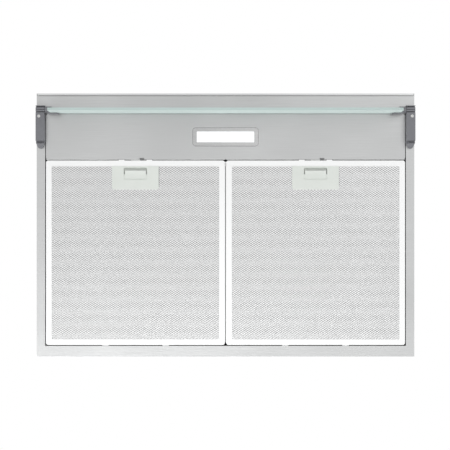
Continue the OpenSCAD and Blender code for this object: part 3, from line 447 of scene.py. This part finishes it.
def expanded_net(cell, strand, low, high):
    """A sheet of expanded foil between two corners in plan, at z = 0. cell is a diamond's width and depth.
    Every second ribbon is moved on by half a diamond, so that its troughs meet the last one's peaks."""
    periods = int((high[0] - low[0]) / cell[0] - 0.5)
    rows = int((high[1] - low[1]) / (cell[1] / 2) - 0.5)
    bm = bmesh.new()
    zigzag_ribbon(bm, cell, strand, periods)
    first = list(bm.verts) + list(bm.edges) + list(bm.faces)
    bmesh.ops.translate(bm, verts=list(bm.verts), vec=(
        (low[0] + high[0] - (periods + 0.5) * cell[0]) / 2,
        (low[1] + high[1] - (rows - 1) * cell[1] / 2) / 2, 0))
    for row in range(1, rows):
        copy = bmesh.ops.duplicate(bm, geom=first)["geom"]
        bmesh.ops.translate(bm, verts=corners(copy), vec=((row % 2) * cell[0] / 2, row * cell[1] / 2, 0))
    return bm


def close_holes(bm):
    """Puts a face over every opening."""
    bmesh.ops.holes_fill(bm, edges=[e for e in bm.edges if e.is_boundary], sides=0)


def cut_place(bm, low, high, corner):
    """Clears the net from the latch plate's place, whose rear corners are round, and closes the cut ends."""
    inside = []
    for face in bm.faces:
        centre = face.calc_center_median()
        if not (low[0] < centre.x < high[0] and low[1] < centre.y < high[1]):
            continue
        past = Vector((corner - min(centre.x - low[0], high[0] - centre.x), corner - high[1] + centre.y))
        if min(past) < 0 or past.length < corner:
            inside.append(face)
    bmesh.ops.delete(bm, geom=inside, context="FACES")
    close_holes(bm)


def as_object(bm, name):
    """Makes a bmesh an object of the scene and frees it."""
    mesh = bpy.data.meshes.new(name)
    bm.to_mesh(mesh)
    bm.free()
    made = bpy.data.objects.new(name, mesh)
    bpy.context.scene.collection.objects.link(made)
    return made


def new_piece(bm, name, finish, body):
    """Makes a bmesh an object of the scene, with its finish, that moves with a body."""
    bmesh.ops.recalc_face_normals(bm, faces=list(bm.faces))
    made = as_object(bm, name)
    made.data.materials.append(finish)
    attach(made, body)
    return made


def filter_nets(side):
    """The face net of a filter, and above it two coarser nets that lie with their diamonds the other way."""
    mesh_low, mesh_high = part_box("filter_mesh_" + side)
    core_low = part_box("filter_core_" + side)[0]
    plate_low, plate_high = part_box("latch_plate_" + side)
    place_low = (plate_low.x + NET_TUCK, mesh_low.y - NET_TUCK)
    place_high = (plate_high.x - NET_TUCK, plate_high.y - NET_TUCK)
    body = "filter_" + side

    outer = expanded_net(FACE_CELL, FACE_STRAND, mesh_low, mesh_high)
    cut_place(outer, place_low, place_high, PLATE_CORNER)
    bmesh.ops.translate(outer, verts=list(outer.verts), vec=(0, 0, mesh_low.z + FOIL))
    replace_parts(new_piece(outer, "face_net_" + side, face_foil, body), "filter_mesh_" + side)

    # The lower inner net is made turned by a quarter, and the upper one is its copy
    turned_low = (mesh_low.y, -mesh_high.x)
    turned_high = (mesh_high.y, -mesh_low.x)
    inner = expanded_net(INNER_CELL, INNER_STRAND, turned_low, turned_high)
    bmesh.ops.rotate(inner, verts=list(inner.verts), matrix=Matrix.Rotation(math.pi / 2, 3, "Z"))
    cut_place(inner, place_low, place_high, PLATE_CORNER)
    layer = list(inner.verts) + list(inner.edges) + list(inner.faces)
    copy = bmesh.ops.duplicate(inner, geom=layer)["geom"]
    apart = core_low.z - mesh_low.z - INNER_HEIGHT
    bmesh.ops.translate(inner, verts=corners(copy), vec=(*INNER_SHIFT, apart))
    bmesh.ops.translate(inner, verts=list(inner.verts), vec=(0, 0, mesh_low.z + INNER_HEIGHT))
    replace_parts(new_piece(inner, "inner_nets_" + side, shaded_inner_foil, body), "filter_core_" + side)


for side in SIDES:
    filter_nets(side)


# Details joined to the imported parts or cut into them

# Corners that lie closer together than this are one
MERGE = 1e-6
# How far a cutter reaches past the part it cuts
SPARE = 1 * MM


def block(low, high, ease=0.0):
    """A box between two corners, with every edge eased by a small bevel."""
    bm = bmesh.new()
    bmesh.ops.create_cube(bm, size=1)
    bmesh.ops.scale(bm, vec=Vector(high) - Vector(low), verts=list(bm.verts))
    bmesh.ops.translate(bm, vec=(Vector(low) + Vector(high)) / 2, verts=list(bm.verts))
    if ease:
        bmesh.ops.bevel(bm, geom=list(bm.edges), offset=ease, affect="EDGES",
                        segments=2, profile=0.5, material=-1)
    return bm


def rounded_block(low, high, corner):
    """An upright block whose four corners in plan are round."""
    bm = block(low, high)
    upright = [e for e in bm.edges if abs(e.verts[0].co.z - e.verts[1].co.z) > MERGE]
    bmesh.ops.bevel(bm, geom=upright, offset=corner, affect="EDGES",
                    segments=8, profile=0.5, material=-1)
    return bm


def bar(outline, left, right):
    """A bar along X with a side view given as points in Y and Z."""
    bm = bmesh.new()
    end = bm.faces.new([bm.verts.new((left, y, z)) for y, z in outline])
    drawn = bmesh.ops.extrude_face_region(bm, geom=[end])["geom"]
    bmesh.ops.translate(bm, verts=corners(drawn), vec=(right - left, 0, 0))
    bmesh.ops.recalc_face_normals(bm, faces=list(bm.faces))
    return bm


def join(bm, other):
    """Adds another bmesh's shape to the first."""
    mesh = bpy.data.meshes.new("joined")
    other.to_mesh(mesh)
    other.free()
    bm.from_mesh(mesh)
    bpy.data.meshes.remove(mesh)


def recut(node, steps):
    """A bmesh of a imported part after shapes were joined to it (UNION), cut from it (DIFFERENCE) or laid over
    it as its outline (INTERSECT)."""
    whole = bmesh.new()
    whole.from_mesh(nodes[node].data)
    bmesh.ops.remove_doubles(whole, verts=list(whole.verts), dist=MERGE)
    work = as_object(whole, "recut")
    for operation, shape in steps:
        tool = as_object(shape, "tool")
        cut = work.modifiers.new("cut", "BOOLEAN")
        cut.operation = operation
        cut.object = tool
        cut.solver = "EXACT"
        graph = bpy.context.evaluated_depsgraph_get()
        result = bpy.data.meshes.new_from_object(work.evaluated_get(graph))
        work.modifiers.clear()
        work.data = result
        bpy.data.objects.remove(tool)
    finished = bmesh.new()
    finished.from_mesh(work.data)
    bmesh.ops.remove_doubles(finished, verts=list(finished.verts), dist=MERGE)
    close_holes(finished)
    bpy.data.objects.remove(work)
    return finished


# Hinge brackets: the length of the square nose and its chamfer
NOSE_LENGTH = 5.5 * MM
NOSE_CHAMFER = 1 * MM
# Grooves across a bracket's underside in millimetres: start from its front, width and depth
BRACKET_GROOVES = [(1.3, 1.9, 6.0), (5.9, 0.9, 2.2), (9.4, 1.6, 4.0), (56.0, 4.0, 6.0)]


def grooved_bracket(side):
    """A hinge bracket with a square nose and grooves across its underside, measured back from its front."""
    low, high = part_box("hinge_bracket_" + side)
    outline = [(low.y, high.z), (low.y, low.z + NOSE_CHAMFER), (low.y + NOSE_CHAMFER, low.z),
               (low.y + NOSE_LENGTH, low.z), (low.y + NOSE_LENGTH, high.z)]
    steps = [("UNION", bar(outline, low.x, high.x))]
    for start, width, depth in BRACKET_GROOVES:
        groove = block((low.x - SPARE, low.y + start * MM, low.z - SPARE),
                       (high.x + SPARE, low.y + (start + width) * MM, low.z + depth * MM))
        steps.append(("DIFFERENCE", groove))
    bracket = recut("hinge_bracket_" + side, steps)
    made = new_piece(bracket, "grooved_bracket_" + side, coated, "root")
    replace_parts(made, "hinge_bracket_" + side)


for side in SIDES:
    grooved_bracket(side)

# Latches: distances back from the plate's front edge, and heights above the hood's underside
LATCH_DEPTH = 37 * MM
WINDOW_START = 2.6 * MM
WINDOW_END = 21.2 * MM
WINDOW_HALF = 18.3 * MM
WINDOW_CORNER = 2.5 * MM
# Just above the hood's underside, where the window's cutter ends and the wedge of the grip runs out
SKIN_TOP = 0.05 * MM
POCKET_HALF = 19.1 * MM
POCKET_END = 5.6 * MM
POCKET_TOP = 5.3 * MM
# The outline that rounds the rear corners passes the front ones by this much, so that they stay square
OUTLINE_SPARE = 20 * MM
GRIP_START = 4.8 * MM
GRIP_CREST = 6.6 * MM
GRIP_END = 12.8 * MM
GRIP_HALF = 16.9 * MM
GRIP_LOW = -0.8 * MM
SLIDER_HALF = 18.8 * MM
SLIDER_LOW = 0.3 * MM
SLOT_TOP = 2.6 * MM
# The slider's front edge, which closes the window's front gap at the height of the tongue
EDGE_GAP = 0.1 * MM
EDGE_LOW = 2.4 * MM
EDGE_TOP = 3.0 * MM


def latch_middle(side):
    """The X of a latch's middle, the Y of its plate's front edge, and the plate's two far corners."""
    low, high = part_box("latch_plate_" + side)
    return (low.x + high.x) / 2, high.y - LATCH_DEPTH, low, high


def latch_cover(side):
    """A latch plate with its finger window, the pocket behind it and round rear corners."""
    mid, front, low, high = latch_middle(side)
    window = rounded_block((mid - WINDOW_HALF, front + WINDOW_START, low.z - SPARE),
                           (mid + WINDOW_HALF, front + WINDOW_END, SKIN_TOP), WINDOW_CORNER)
    pocket = block((mid - POCKET_HALF, front + WINDOW_START, 0),
                   (mid + POCKET_HALF, front + POCKET_END, POCKET_TOP))
    outline = rounded_block((low.x, low.y - OUTLINE_SPARE, low.z - SPARE),
                            (high.x, high.y, high.z + SPARE), PLATE_CORNER)
    cover = recut("latch_plate_" + side,
                  [("DIFFERENCE", window), ("DIFFERENCE", pocket), ("INTERSECT", outline)])
    made = new_piece(cover, "latch_cover_" + side, latch_plastic, "filter_" + side)
    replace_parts(made, "latch_plate_" + side)


def latch_slider(side):
    """A latch with a wedge to pull it by. It is narrower beside the wedge, so that a dark slot shows at each
    end."""
    mid, front, low, _ = latch_middle(side)
    steps = []
    for left, right in ((GRIP_HALF, SLIDER_HALF + SPARE), (-SLIDER_HALF - SPARE, -GRIP_HALF)):
        steps.append(("DIFFERENCE", block((mid + left, front + WINDOW_START, low.z - SPARE),
                                          (mid + right, front + GRIP_END, SLOT_TOP))))
    slider = recut("latch_" + side, steps)
    wedge = [(front + GRIP_START, SLIDER_LOW), (front + GRIP_START, GRIP_LOW),
             (front + GRIP_CREST, GRIP_LOW), (front + GRIP_END, SKIN_TOP), (front + GRIP_END, SLIDER_LOW)]
    join(slider, bar(wedge, mid - GRIP_HALF, mid + GRIP_HALF))
    join(slider, block((mid - GRIP_HALF, front + WINDOW_START + EDGE_GAP, EDGE_LOW),
                       (mid + GRIP_HALF, front + GRIP_CREST, EDGE_TOP)))
    made = new_piece(slider, "latch_slider_" + side, latch_plastic, "latch_" + side)
    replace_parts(made, "latch_" + side)


for side in SIDES:
    latch_cover(side)
    latch_slider(side)

# The dark ring under the lamp's bezel, a painted shadow line: how far it shows past the bezel, its width and
# its thickness
SHADOW_RING_REVEAL = 0.3 * MM
SHADOW_RING_WIDTH = 0.6 * MM
SHADOW_RING_T = 0.8 * MM
BEZEL_CORNER = 5 * MM


def bezel_shadow_ring():
    """A black rubber ring under the lamp's bezel, a painted shadow line that shows thin and dark round it."""
    low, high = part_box("led_bezel")
    panel_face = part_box("light_panel")[0].z
    shadow_ring = rounded_block((low.x - SHADOW_RING_REVEAL, low.y - SHADOW_RING_REVEAL, panel_face - SHADOW_RING_T),
                         (high.x + SHADOW_RING_REVEAL, high.y + SHADOW_RING_REVEAL, panel_face),
                         BEZEL_CORNER + SHADOW_RING_REVEAL)
    # The two flat faces have more than four corners. Their middles come out, and the hole gets its wall
    ends = [f for f in shadow_ring.faces if len(f.verts) > 4]
    bmesh.ops.inset_individual(shadow_ring, faces=ends, thickness=SHADOW_RING_WIDTH, depth=0)
    rims = [e for f in ends for e in f.edges]
    bmesh.ops.delete(shadow_ring, geom=ends, context="FACES_ONLY")
    bmesh.ops.bridge_loops(shadow_ring, edges=rims)
    new_piece(shadow_ring, "bezel_shadow_ring", rubber, "root")


bezel_shadow_ring()

# Strips on the filters' inner sides: thickness of the strip and of its spacer, distances from the ends, the
# height of the lower edge, depth below the frame's top, and eased edges
STRIP_T = 0.6 * MM
STRIP_INSET = 4 * MM
SPACER_T = 0.95 * MM
SPACER_START = 2 * MM
SPACER_END = 9 * MM
STRIP_LOW = 0.2 * MM
STRIP_UNDER_TOP = 1 * MM
STRIP_EASE = 0.15 * MM
# Reach of the filter frame's front lugs and rear tabs, and the lugs' places from its middle
LUG_REACH = 1.4 * MM
TAB_REACH = 7.5 * MM
LUG_OFFSET = 22 * MM
LUG_HALF = 5.1 * MM
# The notch beside the latch tongue, from the filter's middle
NOTCH = (6 * MM, 14 * MM)
# The lip behind the light panel: how far it stands out and reaches under, its lower and upper height, and its
# eased edges
LIP_OUT = 0.7 * MM
LIP_UNDER = 0.2 * MM
LIP_LOW = 0.1 * MM
LIP_TOP = 1.2 * MM
LIP_EASE = 0.2 * MM


def centre_edge(side):
    """A strip on the filter's side next to the other filter, with a thicker spacer near the front."""
    low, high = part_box("filter_frame_" + side)
    top = high.z - STRIP_UNDER_TOP
    front = low.y + LUG_REACH
    rear = high.y - TAB_REACH
    runs = ((STRIP_T, front + STRIP_INSET, rear - STRIP_INSET),
            (SPACER_T, front + SPACER_START, front + SPACER_END))
    edge = bmesh.new()
    for thickness, start, end in runs:
        if side == "left":
            left, right = high.x, high.x + thickness
        else:
            left, right = low.x - thickness, low.x
        join(edge, block((left, start, STRIP_LOW), (right, end, top), STRIP_EASE))
    new_piece(edge, "centre_edge_" + side, anodised, "filter_" + side)


def lip_stretches(side):
    """Where the lip runs in front of a filter: left out at its lugs and beside the notch of its tongue."""
    low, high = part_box("filter_frame_" + side)
    mid = (low.x + high.x) / 2
    stops = [low.x, mid - LUG_OFFSET - LUG_HALF,
             mid - LUG_OFFSET + LUG_HALF, mid + NOTCH[0],
             mid + NOTCH[1], mid + LUG_OFFSET - LUG_HALF,
             mid + LUG_OFFSET + LUG_HALF, high.x]
    return zip(stops[::2], stops[1::2])


lip_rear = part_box("light_panel")[1].y
lip = bmesh.new()
for side in SIDES:
    centre_edge(side)
    for start, end in lip_stretches(side):
        join(lip, block((start, lip_rear - LIP_UNDER, LIP_LOW), (end, lip_rear + LIP_OUT, LIP_TOP), LIP_EASE))
new_piece(lip, "panel_lip", panel_steel, "root")


# Camera, light and floor

PHOTO = 450
# The body is 377.6 pixels wide in the photograph and 600 mm in the model
MM_PER_PIXEL = 600 / 377.6
# The hood stands half a pixel to the right of the photograph's middle
SHIFT_RIGHT = 0.5
CAMERA_DISTANCE = 2.2
SENSOR = 36.0
FAR_CLIP = 200

body_low, body_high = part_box("canopy_shell")
middle = Vector(((body_low.x + body_high.x) / 2, (body_low.y + body_high.y) / 2, body_low.z))

view = bpy.data.cameras.new("camera")
view.sensor_width = SENSOR
view.lens = SENSOR * CAMERA_DISTANCE / (PHOTO * MM_PER_PIXEL * MM)
view.clip_end = FAR_CLIP
camera = bpy.data.objects.new("camera", view)
camera.location = middle - Vector((SHIFT_RIGHT * MM_PER_PIXEL * MM, 0, CAMERA_DISTANCE))
# It looks straight up, with the hood's front at the top of the picture
camera.rotation_euler = (math.pi, 0, 0)
bpy.context.scene.collection.objects.link(camera)
bpy.context.scene.camera = camera
bpy.context.scene.view_settings.view_transform = "Standard"


def soft_lamp(name, place, aim, size, power):
    """A square soft box that points at aim and isn't seen by the camera."""
    light = bpy.data.lights.new(name, "AREA")
    light.shape = "SQUARE"
    light.size = size
    light.energy = power
    made = bpy.data.objects.new(name, light)
    made.location = place
    made.rotation_euler = (Vector(aim) - Vector(place)).to_track_quat("-Z", "Y").to_euler()
    made.visible_camera = False
    bpy.context.scene.collection.objects.link(made)


# Name, place and aim of each lamp, its side in metres and its power in watts
LAMPS = [
    ("lamp_below_rear", (-0.35, 1.0, -2.2), middle, 1.2, 24),
    ("lamp_below_right", (1.6, -1.0, -1.9), middle, 1.2, 6),
    ("lamp_front_high", (0.8, -2.6, 1.8), (0, -0.2, 0.3), 1.4, 16),
]
for lamp in LAMPS:
    soft_lamp(*lamp)


def seen_rays(tree):
    """1 where a ray comes from the camera, or from a glossy or clear surface, and 0 elsewhere."""
    rays = add(tree, "LightPath").outputs
    glossy = add(tree, "Math", {0: rays["Is Camera Ray"], 1: rays["Is Glossy Ray"]}, operation="MAXIMUM")
    clear = add(tree, "Math", {0: glossy.outputs["Value"], 1: rays["Is Transmission Ray"]},
                operation="MAXIMUM")
    return clear.outputs["Value"]


# Strength of the room's white light on the hood, and as it is seen
ROOM_LIGHT = 0.65
ROOM_SEEN = 1.0

world = bpy.data.worlds.new("studio")
bpy.context.scene.world = world
world.use_nodes = True
world.node_tree.nodes.clear()
room = add(world.node_tree, "MapRange", {
    "Value": seen_rays(world.node_tree),
    "To Min": ROOM_LIGHT,
    "To Max": ROOM_SEEN,
})
sky = add(world.node_tree, "Background", {"Color": (1, 1, 1, 1), "Strength": room.outputs["Result"]})
add(world.node_tree, "OutputWorld", {"Surface": sky.outputs["Background"]})

FLOOR_DEPTH = 2.35
FLOOR_SIZE = 150
# How much of the floor's paper turns to plain white where it is seen
FLOOR_LIFT = 0.55


def studio_floor():
    """Pale matt paper: near white to the eye, and it keeps the hood's shadow."""
    made, tree = new_material("studio_floor")
    paper = add(tree, "BsdfDiffuse", {"Color": tone("#E4E4E4")})
    lift = add(tree, "Emission", {"Color": tone("#FFFFFF")})
    amount = add(tree, "MapRange", {"Value": seen_rays(tree), "To Min": 0.0, "To Max": FLOOR_LIFT})
    mixed = add(tree, "MixShader", {
        0: amount.outputs["Result"], 1: paper.outputs["BSDF"], 2: lift.outputs["Emission"],
    })
    finish_material(tree, mixed.outputs["Shader"])
    return made


sheet = bmesh.new()
bmesh.ops.create_grid(sheet, x_segments=1, y_segments=1, size=FLOOR_SIZE / 2)
bmesh.ops.translate(sheet, verts=list(sheet.verts), vec=(0, 0, -FLOOR_DEPTH))
floor = as_object(sheet, "floor")
floor.data.materials.append(studio_floor())
